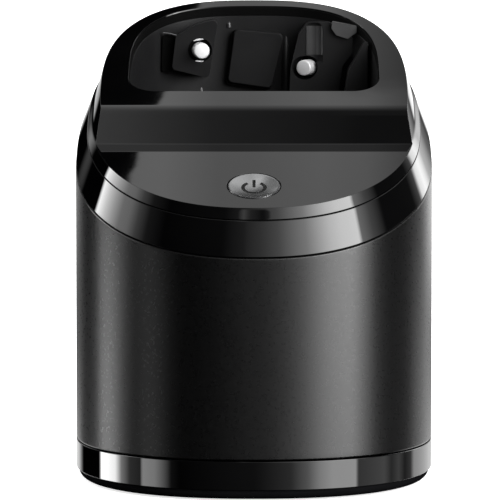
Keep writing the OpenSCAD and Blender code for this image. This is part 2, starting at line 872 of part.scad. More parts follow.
module latch() {
    tip_z = 7.2;
    under_z = deck_bottom_z - 1.4;
    color("#5a5c60") difference() {
        union() {
            box([-4, 4], [latch_y - 1.5, latch_y + 1.5], [tip_z, lift_button_z + 3]);
            translate([0, latch_y, latch_z]) rotate([0, 90, 0]) rod(3.6, -5.5, 5.5);
            across([
                [latch_y - 1.4, tip_z], [latch_y - 4.2, under_z - 0.8], [latch_y - 4.2, under_z],
                [latch_y - 1.4, under_z],
            ], 8);
        }
        translate([0, latch_y, latch_z]) rotate([0, 90, 0]) rod(latch_pin_r + 0.05, -20, 20);
    }
}

module power_socket() {
    depth = 12;
    back_y = socket_face_y - depth;
    color("#101012") difference() {
        box([socket_x - 10.7, socket_x + 10.7], [back_y, socket_face_y], [socket_z - 6.7, socket_z + 6.7]);
        figure_eight(8.6, 4.4, socket_face_y - 9, big);
        for (s = [-1, 1]) translate([socket_x + s * 4.3, 0, socket_z]) rotate([-90, 0, 0]) rod(1.2, 0, big);
    }
}

// Two round wells joined into the outline of a two-pole plug
module figure_eight(spacing, r, y0, y1) {
    translate([socket_x, 0, socket_z]) rotate([-90, 0, 0]) {
        for (s = [-1, 1]) translate([s * spacing / 2, 0, 0]) rod(r, y0, y1);
        box([-spacing / 2, spacing / 2], [-r + 0.6, r - 0.6], [y0, y1]);
    }
}

module socket_pins() {
    color("#d8d9da") for (s = [-1, 1])
        translate([socket_x + s * 4.3, 0, socket_z]) rotate([-90, 0, 0])
            rod(1.2, socket_face_y - 15, socket_face_y - 1.5);
}

base_pan();
base_ring();
base_deck();
rubber_feet();
base_screws();
guide_columns();
lift_springs();
latch_strike();
cartridge_tub();
cartridge_cover();
cartridge_filter();
body_shell();
collar();
top_cover();
cleaning_tub();
tub_gasket();
tub_rear_plate();
contact_block_left();
contact_block_right();
pin_seals();
inner_chassis();
chassis_screws();
main_board();
board_screws();
start_switch();
motor_can();
motor_end_cap();
pump_housing();
pump_cover();
suction_tube();
pressure_hose();
drain_spout();
power_socket();
socket_pins();
lift_button_bezel();
latch_pin();
button_spring();
motor_leads();
start_button();
lift_button();
latch();
contact_pin_left();
contact_pin_right();
motor_shaft();
impeller();
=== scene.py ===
"""Looks for the cleaning and charging station: detailed pieces, materials, light and camera."""
import json
import math

import bmesh
import bpy
import numpy as np
from mathutils import Matrix, Vector


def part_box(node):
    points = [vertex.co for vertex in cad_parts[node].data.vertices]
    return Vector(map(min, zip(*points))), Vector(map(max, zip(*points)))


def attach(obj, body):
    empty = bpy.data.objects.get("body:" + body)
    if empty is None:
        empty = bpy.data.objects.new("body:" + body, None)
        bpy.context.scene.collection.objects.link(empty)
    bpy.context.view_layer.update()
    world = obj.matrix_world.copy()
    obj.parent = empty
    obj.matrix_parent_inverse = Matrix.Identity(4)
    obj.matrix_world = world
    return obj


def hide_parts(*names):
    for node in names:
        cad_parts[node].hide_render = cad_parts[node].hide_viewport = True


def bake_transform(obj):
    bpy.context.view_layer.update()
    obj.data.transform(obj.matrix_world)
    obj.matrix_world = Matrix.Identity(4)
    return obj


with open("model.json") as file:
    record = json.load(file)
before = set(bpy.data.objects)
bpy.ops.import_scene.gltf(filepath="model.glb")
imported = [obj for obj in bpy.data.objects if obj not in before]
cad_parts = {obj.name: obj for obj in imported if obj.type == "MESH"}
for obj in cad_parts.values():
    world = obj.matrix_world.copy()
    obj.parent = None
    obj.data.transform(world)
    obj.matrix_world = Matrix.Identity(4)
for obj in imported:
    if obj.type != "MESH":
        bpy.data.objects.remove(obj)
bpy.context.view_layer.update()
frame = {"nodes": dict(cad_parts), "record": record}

MM = 0.001
NODES = frame["nodes"]

# ------------------------------------------------------------------ measures, in millimetres
# From the frame
SHELL_MIN, SHELL_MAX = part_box("body_shell")
HALF_W = SHELL_MAX.x / MM
FRONT_Y, REAR_Y = SHELL_MIN.y / MM, SHELL_MAX.y / MM
SHELL_LOW = SHELL_MIN.z / MM
RING_LOW, RING_HIGH = [corner.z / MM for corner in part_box("base_ring")]
PAN_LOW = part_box("base_pan")[0].z / MM

# The outline, widest at WIDEST_Y, with a fuller curve at the rear
WIDEST_Y = -4.0
FRONT_SEMI = WIDEST_Y - FRONT_Y
REAR_SEMI = REAR_Y - WIDEST_Y
FRONT_POWER, REAR_POWER = 2.3, 2.66
SIDES = 288

# The sloping top: heights are measured upwards from the seam's plane, which is SEAM_Z high at the front
SLOPE_ANGLE = math.radians(23.5)
SLOPE = math.tan(SLOPE_ANGLE)
SEAM_Z = 88.5
COLLAR_H = 10.2
FACE_H = 3.15
RIM_H = 12.15
COVER_WALL = 2.2
ROOF_DROP = COVER_WALL / math.cos(SLOPE_ANGLE)
RISER_FOOT_Y, RISER_DEPTH = -21.0, 5.0

# How far the collar and the cover have drawn in (TAPER_IN) at each height (TAPER_H)
TAPER_H = [-COLLAR_H, 0, FACE_H + 0.1, 18]
TAPER_IN = [0, 3.9, 5.65, 9.71]

# The tub's mouth and floor, and the start button
MOUTH_HALF_W, MOUTH_FRONT, MOUTH_REAR, MOUTH_CORNER = 41.8, -4.3, 54.5, 9.0
MOUTH_POWER = 2.9
TUB_FLOOR = 85.0
BUTTON_Y = -47.7


# ------------------------------------------------------------------ shapes
def power(values, exponent):
    """A power that keeps the sign."""
    return np.sign(values) * np.abs(values) ** exponent


def outline(inset, count=SIDES):
    """The housing's outline in millimetres, moved inwards by inset."""
    t = np.arange(count) * 2 * math.pi / count
    front = np.sin(t) < -1e-9
    semi = np.where(front, FRONT_SEMI, REAR_SEMI) - inset
    e = np.where(front, 2 / FRONT_POWER, 2 / REAR_POWER)
    x = (HALF_W - inset) * power(np.cos(t), e)
    y = semi * power(np.sin(t), e) + WIDEST_Y
    return np.stack([x, y], 1)


def mouth(inset, rear_steps=72, corner_steps=12):
    """The D-shaped mouth of the cleaning tub."""
    corner_y = MOUTH_FRONT + MOUTH_CORNER
    corner_x = MOUTH_HALF_W - MOUTH_CORNER
    side_y = corner_y + 4
    r = MOUTH_CORNER - inset
    a, b, e = MOUTH_HALF_W - inset, MOUTH_REAR - side_y - inset, 2 / MOUTH_POWER
    t = np.linspace(0, math.pi, rear_steps + 1)
    arc = np.stack([a * power(np.cos(t), e), side_y + b * power(np.sin(t), e)], 1)
    arc[-1, 1] = side_y
    left = np.linspace(math.pi, 1.5 * math.pi, corner_steps + 1)
    right = np.linspace(1.5 * math.pi, 2 * math.pi, corner_steps + 1)
    left = np.stack([r * np.cos(left) - corner_x, corner_y + r * np.sin(left)], 1)
    right = np.stack([r * np.cos(right) + corner_x, corner_y + r * np.sin(right)], 1)
    return np.concatenate([arc, left, right])


def plane_z(y, h):
    """Height from the ground of the sloping plane h above the seam."""
    return SEAM_Z + h + SLOPE * (y - FRONT_Y)


def on_plane(points, h):
    """Points lifted to the sloping plane h above the seam."""
    return np.column_stack([points, plane_z(points[:, 1], h)])


def at_height(points, z):
    """Points on the level plane z above the ground."""
    return np.column_stack([points, np.full(len(points), float(z))])


def rounded(corners, radii, steps=5):
    """A closed 2-D profile with its corners rounded."""
    out, n = [], len(corners)
    for i in range(n):
        b = np.array(corners[i], float)
        r = radii[i] if hasattr(radii, "__len__") else radii
        if r <= 0:
            out.append(b)
            continue
        u = np.array(corners[i - 1], float) - b
        w = np.array(corners[(i + 1) % n], float) - b
        u, w = u / np.linalg.norm(u), w / np.linalg.norm(w)
        half = math.acos(float(np.clip(u @ w, -1, 1))) / 2
        centre = b + (u + w) / np.linalg.norm(u + w) * r / math.sin(half)
        s, e = b + u * r / math.tan(half) - centre, b + w * r / math.tan(half) - centre
        start = math.atan2(s[1], s[0])
        sweep = math.atan2(s[0] * e[1] - s[1] * e[0], s @ e)
        for k in range(steps + 1):
            a = start + sweep * k / steps
            out.append(centre + r * np.array([math.cos(a), math.sin(a)]))
    return np.array(out)


def make(name, verts, faces):
    """An object from points in millimetres and the faces between them."""
    mesh = bpy.data.meshes.new(name)
    mesh.from_pydata([tuple(v) for v in np.asarray(verts, float) * MM], [], faces)
    bm = bmesh.new()
    bm.from_mesh(mesh)
    bmesh.ops.remove_doubles(bm, verts=bm.verts, dist=1e-7)
    bmesh.ops.recalc_face_normals(bm, faces=bm.faces)
    bm.to_mesh(mesh)
    bm.free()
    obj = bpy.data.objects.new(name, mesh)
    bpy.context.scene.collection.objects.link(obj)
    return obj


def loft(name, rings, closed=False):
    """A skin through rings with the same number of points: closed back onto the first ring, or capped."""
    n, count = len(rings[0]), len(rings)
    verts = np.concatenate(rings)
    faces = []
    for k in range(count if closed else count - 1):
        a, b = k * n, ((k + 1) % count) * n
        for i in range(n):
            j = (i + 1) % n
            faces.append((a + i, a + j, b + j, b + i))
    if not closed:
        faces.append(tuple(range(n - 1, -1, -1)))
        faces.append(tuple(range((count - 1) * n, count * n)))
    return make(name, verts, faces)


def prism(name, points, low, high, axis="z"):
    """A 2-D shape extruded along an axis: x takes points as (y, z), y takes them as (x, z)."""
    points = np.asarray(points, float)

    def place(v):
        c = np.full(len(points), float(v))
        if axis == "x":
            return np.column_stack([c, points[:, 0], points[:, 1]])
        if axis == "y":
            return np.column_stack([points[:, 0], c, points[:, 1]])
        return np.column_stack([points, c])

    return loft(name, [place(low), place(high)])


def lathe(name, profile, count=64, closed=True):
    """A profile of (radius, height) turned about Z; points on the axis close it."""
    rings = []
    a = np.arange(count) * 2 * math.pi / count
    for r, z in profile:
        r = max(r, 1e-4)
        rings.append(np.column_stack([r * np.cos(a), r * np.sin(a), np.full(count, float(z))]))
    return loft(name, rings, closed)


def box_points(w, d, r, cx=0.0, cy=0.0):
    """A rectangle w wide and d deep with corners of radius r."""
    corners = [(cx + i * w / 2, cy + j * d / 2) for i, j in ((1, -1), (1, 1), (-1, 1), (-1, -1))]
    return rounded(corners, r, 6)


def circle_points(r, cx=0.0, cy=0.0):
    """A circle of 48 points."""
    count = 48
    a = np.arange(count) * 2 * math.pi / count
    return np.stack([cx + r * np.cos(a), cy + r * np.sin(a)], 1)


def arc_band(r_in, r_out, start, end, steps=40, cx=0.0, cy=0.0):
    """A bent strip between two radii; a radius may be an array, with a value for each point along it."""
    a = np.linspace(start, end, steps + 1)
    outer = np.stack([cx + r_out * np.cos(a), cy + r_out * np.sin(a)], 1)
    inner = np.stack([cx + r_in * np.cos(a), cy + r_in * np.sin(a)], 1)
    return np.concatenate([outer, inner[::-1]])


def tube_along(name, route, r, sides=10):
    """A round bar along a route of points."""
    route = np.asarray(route, float)
    rings = []
    u = None
    for i in range(len(route)):
        d = route[min(i + 1, len(route) - 1)] - route[max(i - 1, 0)]
        d /= np.linalg.norm(d)
        if u is None:
            ref = np.array([0, 0, 1.0]) if abs(d[2]) < 0.9 else np.array([0, 1.0, 0])
            u = np.cross(ref, d)
        u = u - d * (u @ d)
        u /= np.linalg.norm(u)
        v = np.cross(d, u)
        a = np.arange(sides) * 2 * math.pi / sides
        rings.append(route[i] + r * (np.outer(np.cos(a), u) + np.outer(np.sin(a), v)))
    return loft(name, rings)


def move(obj, matrix):
    """Moves the mesh, so that the object itself stays at the origin."""
    obj.data.transform(matrix)
    return obj


def shift(obj, x=0.0, y=0.0, z=0.0):
    """Moves the mesh by millimetres."""
    return move(obj, Matrix.Translation((x * MM, y * MM, z * MM)))


def bake_modifiers(obj):
    """The mesh with its modifiers made final."""
    bpy.context.view_layer.update()
    graph = bpy.context.evaluated_depsgraph_get()
    mesh = bpy.data.meshes.new_from_object(obj.evaluated_get(graph))
    obj.modifiers.clear()
    old = obj.data
    obj.data = mesh
    bpy.data.meshes.remove(old)
    return obj


def boolean(obj, others, operation="DIFFERENCE"):
    """Cuts, joins or keeps the overlap with one other solid or each of several, which are used up."""
    for other in others if isinstance(others, (list, tuple)) else [others]:
        m = obj.modifiers.new("cut", "BOOLEAN")
        m.operation = operation
        m.solver = "EXACT"
        m.object = other
        bake_modifiers(obj)
        bpy.data.objects.remove(other)
    return obj


def tidy(obj, distance=0.01):
    """Merges points that a cut left on top of each other."""
    bm = bmesh.new()
    bm.from_mesh(obj.data)
    bmesh.ops.remove_doubles(bm, verts=bm.verts, dist=distance * MM)
    bmesh.ops.dissolve_degenerate(bm, dist=1e-6, edges=bm.edges)
    bm.to_mesh(obj.data)
    bm.free()
    return obj


def soften(obj, width=0.3, segments=3, angle=35):
    """Rounds the sharp edges and keeps broad faces flat."""
    if width:
        m = obj.modifiers.new("edge", "BEVEL")
        m.width = width * MM
        m.segments = segments
        m.limit_method = "ANGLE"
        m.angle_limit = math.radians(angle)
        m.miter_outer = "MITER_ARC"
        m.use_clamp_overlap = True
    obj.data.shade_smooth()
    if width:
        bake_modifiers(obj)
    obj.data.set_sharp_from_angle(angle=math.radians(50))
    m = obj.modifiers.new("flat", "WEIGHTED_NORMAL")
    m.weight = 90
    m.keep_sharp = True
    bake_modifiers(obj)
    return obj


# ------------------------------------------------------------------ materials
def new_material(name):
    """A material with its node tree, its shader and the object's own coordinates."""
    mat = bpy.data.materials.new(name)
    mat.use_nodes = True
    tree = mat.node_tree
    shader = tree.nodes["Principled BSDF"]
    coords = tree.nodes.new("ShaderNodeTexCoord")
    return mat, tree, shader, coords.outputs["Object"]


def noise(tree, coords, size_mm, detail=3.0, rough=0.5, stretch=None):
    """Noise whose grains are about size_mm across."""
    node = tree.nodes.new("ShaderNodeTexNoise")
    node.inputs["Scale"].default_value = 1 / (size_mm * MM)
    node.inputs["Detail"].default_value = detail
    node.inputs["Roughness"].default_value = rough
    if stretch:
        mapping = tree.nodes.new("ShaderNodeMapping")
        mapping.inputs["Scale"].default_value = stretch
        tree.links.new(coords, mapping.inputs["Vector"])
        coords = mapping.outputs["Vector"]
    tree.links.new(coords, node.inputs["Vector"])
    return node.outputs["Fac"]


def remap(tree, value, low, high, start=0.3, end=0.7):
    """Goes from low to high as value goes from start to end."""
    node = tree.nodes.new("ShaderNodeMapRange")
    node.inputs["From Min"].default_value = start
    node.inputs["From Max"].default_value = end
    node.inputs["To Min"].default_value = low
    node.inputs["To Max"].default_value = high
    tree.links.new(value, node.inputs["Value"])
    return node.outputs["Result"]


def two_tone(tree, value, dark, light):
    """A colour between two, by a value from 0 to 1."""
    node = tree.nodes.new("ShaderNodeMix")
    node.data_type = "RGBA"
    node.inputs[6].default_value = (*dark, 1)
    node.inputs[7].default_value = (*light, 1)
    tree.links.new(value, node.inputs[0])
    return node.outputs[2]


def bump(tree, shader, value, depth_mm, strength=1.0):
    """Fine relief on the surface, from a value."""
    node = tree.nodes.new("ShaderNodeBump")
    node.inputs["Strength"].default_value = strength
    node.inputs["Distance"].default_value = depth_mm * MM
    tree.links.new(value, node.inputs["Height"])
    tree.links.new(node.outputs["Normal"], shader.inputs["Normal"])


def drifting_colour(tree, shader, value, colour, spread):
    """A base colour that drifts by spread, a share of itself, to either side with a noise."""
    low = [c * (1 - spread) for c in colour]
    high = [c * (1 + spread) for c in colour]
    tree.links.new(two_tone(tree, remap(tree, value, 0, 1), low, high), shader.inputs["Base Color"])


def plastic(name, colour, rough, grain=0.5, depth=0.01, spread=0.15, spec=0.5):
    """Moulded plastic: fine grain, uneven gloss and a slow drift of colour."""
    mat, tree, shader, coords = new_material(name)
    fine = noise(tree, coords, grain, 4)
    drifting_colour(tree, shader, noise(tree, coords, 14, 3), colour, spread)
    tree.links.new(remap(tree, fine, *rough), shader.inputs["Roughness"])
    shader.inputs["Specular IOR Level"].default_value = spec
    bump(tree, shader, fine, depth)
    return mat


def metal(name, colour, rough, stretch=(1, 1, 1), depth=0.004, size=0.5, metallic=1.0):
    """Metal with a fine grain, drawn out into lines by stretch, and slightly duller patches."""
    mat, tree, shader, coords = new_material(name)
    lines = noise(tree, coords, size, 4, 0.6, stretch)
    drifting_colour(tree, shader, noise(tree, coords, 6, 3), colour, 0.08)
    tree.links.new(remap(tree, lines, *rough), shader.inputs["Roughness"])
    shader.inputs["Metallic"].default_value = metallic
    bump(tree, shader, lines, depth)
    return mat


def gloss_black(name):
    """Polished black plastic: a faint ripple of the moulding and hairline wear in the gloss."""
    mat, tree, shader, coords = new_material(name)
    broad = noise(tree, coords, 22, 2)
    fine = noise(tree, coords, 0.9, 5, 0.6)
    drifting_colour(tree, shader, broad, (0.001, 0.001, 0.0011), 0.25)
    tree.links.new(remap(tree, fine, 0.010, 0.024), shader.inputs["Roughness"])
    shader.inputs["IOR"].default_value = 1.5
    bump(tree, shader, broad, 0.012, 0.6)
    return mat


def matt_charcoal(name):
    """Charcoal finish with a fine grain and tiny brighter flecks."""
    mat, tree, shader, coords = new_material(name)
    grain = noise(tree, coords, 1.0, 1, 0.4)
    fleck = noise(tree, coords, 0.75, 2, 0.7)
    broad = remap(tree, noise(tree, coords, 25, 2), 0, 1)
    base = two_tone(tree, broad, (0.0008, 0.0008, 0.00085), (0.0012, 0.0012, 0.00125))
    mix = tree.nodes.new("ShaderNodeMix")
    mix.data_type = "RGBA"
    tree.links.new(remap(tree, fleck, 0, 0.55, 0.55, 0.78), mix.inputs[0])
    tree.links.new(base, mix.inputs[6])
    mix.inputs[7].default_value = (0.009, 0.009, 0.0094, 1)
    tree.links.new(mix.outputs[2], shader.inputs["Base Color"])
    tree.links.new(remap(tree, grain, 0.27, 0.31), shader.inputs["Roughness"])
    shader.inputs["Specular IOR Level"].default_value = 0.6
    bump(tree, shader, grain, 0.001, 0.3)
    return mat


def rubber(name, colour):
    """Soft rubber: dull, with a deeper grain than the plastics."""
    return plastic(name, colour, (0.72, 0.85), 0.35, 0.03, 0.12, 0.3)


def clear_plastic(name, colour):
    """Clear moulding with a faint waviness."""
    mat, tree, shader, coords = new_material(name)
    broad = noise(tree, coords, 9, 3)
    drifting_colour(tree, shader, broad, colour, 0.06)
    tree.links.new(remap(tree, broad, 0.08, 0.16), shader.inputs["Roughness"])
    shader.inputs["Transmission Weight"].default_value = 0.65
    shader.inputs["IOR"].default_value = 1.46
    bump(tree, shader, broad, 0.02, 0.5)
    return mat


def circuit_board(name):
    """Green solder resist with copper traces under it."""
    mat, tree, shader, coords = new_material(name)
    brick = tree.nodes.new("ShaderNodeTexBrick")
    brick.inputs["Scale"].default_value = 260
    brick.inputs["Mortar Size"].default_value = 0.03
    brick.inputs["Color1"].default_value = (0.012, 0.09, 0.045, 1)
    brick.inputs["Color2"].default_value = (0.016, 0.11, 0.055, 1)
    brick.inputs["Mortar"].default_value = (0.05, 0.2, 0.08, 1)
    tree.links.new(coords, brick.inputs["Vector"])
    tree.links.new(brick.outputs["Color"], shader.inputs["Base Color"])
    tree.links.new(remap(tree, noise(tree, coords, 0.8), 0.22, 0.34), shader.inputs["Roughness"])
    bump(tree, shader, brick.outputs["Fac"], 0.03, 0.6)
    return mat


def foam(name, colour):
    """Open-cell filter foam, darker between its cells."""
    mat, tree, shader, coords = new_material(name)
    cells = tree.nodes.new("ShaderNodeTexVoronoi")
    cells.inputs["Scale"].default_value = 900
    tree.links.new(coords, cells.inputs["Vector"])
    distance = cells.outputs["Distance"]
    tones = two_tone(tree, remap(tree, distance, 0, 1, 0.1, 0.6), colour, [c * 0.45 for c in colour])
    tree.links.new(tones, shader.inputs["Base Color"])
    shader.inputs["Roughness"].default_value = 0.9
    bump(tree, shader, distance, 0.3, 0.8)
    return mat


# The finishes and the function that makes each. A plastic lists its colour, range of roughness, grain and
# depth of bump in millimetres, drift of colour and specular level; a metal lists its colour, range of
# roughness, stretch, depth of bump, grain and how metallic it is.
LOOKS = {
    "gloss_black": (gloss_black,),
    "matt_charcoal": (matt_charcoal,),
    "base_black": (plastic, (0.011, 0.011, 0.012), (0.22, 0.34), 0.5, 0.008),
    "pan_black": (plastic, (0.005, 0.005, 0.0055), (0.35, 0.45), 1.0, 0.004, 0.15, 0.0),
    "deck_black": (plastic, (0.018, 0.018, 0.019), (0.4, 0.52), 0.6, 0.02),
    "foot_rubber": (rubber, (0.03, 0.03, 0.031)),
    "seal_rubber": (rubber, (0.05, 0.05, 0.052)),
    "tub_black": (plastic, (0.0075, 0.0075, 0.0078), (0.4, 0.48), 2.5, 0.002, 0.15, 0.14),
    # A lighter copy of the tub plastic: painted sheen, for the ribs on the wall
    "tub_sheen": (plastic, (0.016, 0.016, 0.0165), (0.3, 0.38), 2.5, 0.002, 0.15, 0.5),
    # A lighter and a darker copy of one plastic: painted light and painted shade on the channel's two sides;
    # the lighter one is also on the right block's shoulder
    "channel_light": (plastic, (0.044, 0.044, 0.0445), (0.6, 0.7), 2.5, 0.002, 0.15, 0.15),
    "channel_dark": (plastic, (0.022, 0.022, 0.0223), (0.6, 0.7), 2.5, 0.002, 0.15, 0.15),
    "button_grey": (metal, (0.4, 0.404, 0.408), (0.2, 0.27), (1, 1, 1), 0.0015, 0.25),
    "lift_button_grey": (plastic, (0.035, 0.035, 0.037), (0.4, 0.5), 0.5, 0.015),
    "contact_metal": (metal, (0.66, 0.66, 0.665), (0.5, 0.58), (1, 1, 1), 0.002, 0.5, 0.3),
    "zinc_steel": (metal, (0.5, 0.51, 0.53), (0.3, 0.42)),
    "column_steel": (metal, (0.62, 0.63, 0.65), (0.14, 0.24), (1, 1, 0.05)),
    "spring_steel": (metal, (0.6, 0.6, 0.62), (0.2, 0.3)),
    "motor_steel": (metal, (0.55, 0.56, 0.58), (0.25, 0.36), (1, 1, 10)),
    "chassis_grey": (plastic, (0.034, 0.034, 0.039), (0.42, 0.55), 0.6, 0.02),
    "pump_grey": (plastic, (0.066, 0.072, 0.084), (0.38, 0.5), 0.6, 0.02),
    "socket_black": (plastic, (0.006, 0.006, 0.007), (0.3, 0.42), 0.5, 0.012),
    "switch_black": (plastic, (0.045, 0.045, 0.05), (0.35, 0.45), 0.4, 0.01),
    "board_green": (circuit_board,),
    "end_cap_cream": (plastic, (0.74, 0.71, 0.63), (0.4, 0.5), 0.6, 0.012, 0.05),
    "impeller_white": (plastic, (0.68, 0.69, 0.7), (0.35, 0.45), 0.6, 0.01, 0.05),
    "hose_silicone": (plastic, (0.62, 0.64, 0.66), (0.3, 0.4), 0.8, 0.01, 0.05),
    "tube_grey": (plastic, (0.3, 0.33, 0.36), (0.3, 0.42), 0.6, 0.01, 0.08),
    "lead_red": (plastic, (0.33, 0.025, 0.02), (0.35, 0.45), 0.5, 0.008, 0.1),
    "cartridge_clear": (clear_plastic, (0.72, 0.82, 0.9)),
    "cartridge_blue": (plastic, (0.028, 0.15, 0.38), (0.3, 0.42), 0.6, 0.012, 0.08),
    "filter_foam": (foam, (0.66, 0.6, 0.46)),
    "icon_dark": (plastic, (0.004, 0.004, 0.004), (0.5, 0.6), 0.4, 0.004, 0.15, 0.2),
    # Near-black and almost without reflection: painted shade, for the mouth's wall, the left block's wing,
    # the shadow round the plate and the seals in the pin bores
    "lining_black": (plastic, (0.0008, 0.0008, 0.0008), (0.7, 0.8), 0.6, 0.002, 0.2, 0.05),
    "ring_steel": (metal, (0.7, 0.7, 0.71), (0.2, 0.3), (1, 1, 1), 0.002),
}
MATERIALS = {name: finish(name, *values) for name, (finish, *values) in LOOKS.items()}


def finish_with(obj, material):
    """Gives an object one material, by its name."""
    obj.data.materials.clear()
    obj.data.materials.append(MATERIALS[material])
    return obj


def piece(obj, body, slot, *nodes, material=None):
    """A finished piece: its look, the body it rides on, and the CAD nodes it stands for."""
    finish_with(obj, material or slot)
    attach(obj, body)
    if nodes:
        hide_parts(*nodes)
    return obj


# Every CAD node that stays gets the finish of its slot
for entry in frame["record"]["subparts"]:
    finish_with(NODES[entry["node"]], entry["material_slot"])

# ------------------------------------------------------------------ camera
CAMERA_DISTANCE = 1.5
CAMERA_ELEVATION = math.radians(5.61)
TARGET = Vector((0.0, WIDEST_Y * MM, 0.076))
camera_data = bpy.data.cameras.new("camera")
camera_data.sensor_width = 36.0
camera_data.lens = 325.0
camera_data.shift_x = -0.008
camera_data.shift_y = -0.0065
camera_data.clip_start = 0.01
camera = bpy.data.objects.new("camera", camera_data)
bpy.context.scene.collection.objects.link(camera)
away = Vector((0, -math.cos(CAMERA_ELEVATION), math.sin(CAMERA_ELEVATION)))
camera.location = TARGET + away * CAMERA_DISTANCE
camera.rotation_euler = (-away).to_track_quat("-Z", "Y").to_euler()
bpy.context.scene.camera = camera
bpy.context.scene.view_settings.view_transform = "Standard"


# ------------------------------------------------------------------ base
def level_rings(profile):
    """Rings of the outline from a profile of (inset, height), heights measured from the ground."""
    return [at_height(outline(i), z) for i, z in profile]


def sloping_rings(profile):
    """Rings of the outline from a profile of (inset, height), heights measured from the seam's plane."""
    return [on_plane(outline(i), h) for i, h in profile]


RING_WALL = 2.6
corners = [(0, RING_LOW), (0, RING_HIGH), (RING_WALL, RING_HIGH), (RING_WALL, RING_LOW)]
base_ring = loft("gloss_base_ring", level_rings(rounded(corners, [0.1, 0.22, 0.2, 0.2])), closed=True)
soften(base_ring, 0)
piece(base_ring, "base", "gloss_black", "base_ring")

PAN_TOP, PAN_INSET, PAN_CORNER = 4.2, 0.8, 2.4
corners = [(3.0, PAN_TOP), (PAN_INSET, PAN_TOP), (PAN_INSET, PAN_LOW), (9.0, PAN_LOW)]
pan = loft("base_pan_moulding", level_rings(rounded(corners, [0, 0.2, PAN_CORNER, 0], 8)))
FOOT_SPOTS = [outline(12.0)[int(SIDES * a / 360)] for a in (45, 135, 225, 315)]
SCREW_SPOTS = [(-26, -24), (26, -24), (-26, 24), (26, 24)]
cuts = [prism("foot_recess", circle_points(6.15, *spot), -1, 1.6) for spot in FOOT_SPOTS]
cuts += [prism("screw_recess", circle_points(3.2, *spot), -1, 3.2) for spot in SCREW_SPOTS]
cuts += [prism("underside_groove", box_points(34, 1.4, 0.7, cy=5.0 * k), -1, 1.3) for k in range(-3, 4)]
boolean(pan, cuts)
tidy(pan)
soften(pan, 0.18, 2)
piece(pan, "base", "base_black", "base_pan", material="pan_black")

# A foot from below: a dimple, two raised rings and a rounded rim
foot_profile = [(0, 0.25), (1.2, 0.25), (1.4, 0.05), (2.6, 0.05), (2.8, 0.25), (3.6, 0.25), (3.8, 0.0)]
foot_profile += [(5.2, 0.0), (5.6, 0.1), (5.9, 0.35), (6.0, 0.7), (6.0, 1.6), (0, 1.6)]
for k, spot in enumerate(FOOT_SPOTS):
    foot = shift(lathe("rubber_foot_%d" % k, foot_profile, 48, closed=False), *spot)
    soften(foot, 0)
    piece(foot, "base", "foot_rubber", *(["rubber_feet"] if k == 0 else []))

# ------------------------------------------------------------------ matt body shell
SHELL_WALL = 2.4
HALF_SEAM = 0.15
shell_top = -COLLAR_H - HALF_SEAM
corners = [(SHELL_WALL, SHELL_LOW + 2), (SHELL_WALL, SHELL_LOW), (0, SHELL_LOW), (0, SHELL_LOW + 2)]
low_part = rounded(corners, [0, 0.2, 0.45, 0])
corners = [(0, shell_top - 2), (0, shell_top), (SHELL_WALL, shell_top), (SHELL_WALL, shell_top - 2)]
high_part = rounded(corners, [0, 0.3, 0.2, 0])
shell = loft("matt_body", level_rings(low_part) + sloping_rings(high_part), closed=True)
LIFT_Z, SOCKET_X, SOCKET_Z = 45.0, -26.0, 26.0
window = prism("window", box_points(23.9, 15.9, 2.2, cy=LIFT_Z), REAR_Y - 12, REAR_Y + 5, "y")
inlet = prism("inlet", box_points(21.8, 13.8, 2.0, cx=SOCKET_X, cy=SOCKET_Z), REAR_Y - 15, REAR_Y + 5, "y")
boolean(shell, [window, inlet])
soften(shell, 0)
piece(shell, "housing", "matt_charcoal", "body_shell")

# ------------------------------------------------------------------ gloss collar
foot_h, head_h = -COLLAR_H + HALF_SEAM, -HALF_SEAM
corners = [(0.05, foot_h), (3.85, head_h), (6.1, head_h), (2.2, foot_h)]
collar = loft("gloss_collar", sloping_rings(rounded(corners, [0.3, 0.25, 0.2, 0.2])), closed=True)
soften(collar, 0)
piece(collar, "housing", "gloss_black", "collar")


# ------------------------------------------------------------------ top cover
def taper_at(h):
    """How far the outline has drawn in at a height above the seam."""
    return float(np.interp(h, TAPER_H, TAPER_IN))


def roof_profile(drop, low=-3):
    """Front face, riser and rim plane from the side, as (y, z), lowered by drop and going down to low."""
    edge, lean = 90.0, drop * 0.6
    foot = (RISER_FOOT_Y + lean, plane_z(RISER_FOOT_Y + lean, FACE_H - drop))
    top_y = RISER_FOOT_Y + RISER_DEPTH + lean
    top = (top_y, plane_z(top_y, RIM_H - drop))
    front = (-edge, plane_z(-edge, FACE_H - drop))
    rear = (edge, plane_z(edge, RIM_H - drop))
    corners = [(-edge, plane_z(-edge, low)), (edge, plane_z(edge, low)), rear, top, foot, front]
    return rounded(corners, [0, 0, 0, 7.0, 0.8, 0], 12)


def cover_solid(name, inset, low):
    """The cover's tapering outside, moved inwards by inset, from low up to past the rim."""
    heights = [low, 0.6, 1.4, 2.2, 2.8, 3.5, 4.3, 6, 8.5, 11, 13, 18]
    return loft(name, [on_plane(outline(taper_at(h) + inset), h) for h in heights])


cover = cover_solid("gloss_top_cover", 0, 0.2)
boolean(cover, prism("roof", roof_profile(0), -80, 80, "x"), "INTERSECT")
hollow = cover_solid("hollow", COVER_WALL, -0.6)
boolean(hollow, prism("roof_inside", roof_profile(ROOF_DROP), -80, 80, "x"), "INTERSECT")
boolean(cover, hollow)
boolean(cover, prism("mouth_cut", mouth(0), 60, 200))
FACE_FRAME = (
    Matrix.Translation((0, BUTTON_Y * MM, plane_z(BUTTON_Y, FACE_H) * MM))
    @ Matrix.Rotation(SLOPE_ANGLE, 4, "X")
)
button_hole = move(lathe("button_hole", [(8.8, -10), (8.8, 10)], 96, closed=False), FACE_FRAME)
boolean(cover, button_hole)
tidy(cover)
soften(cover, 0.32, 3)
piece(cover, "housing", "gloss_black", "top_cover")

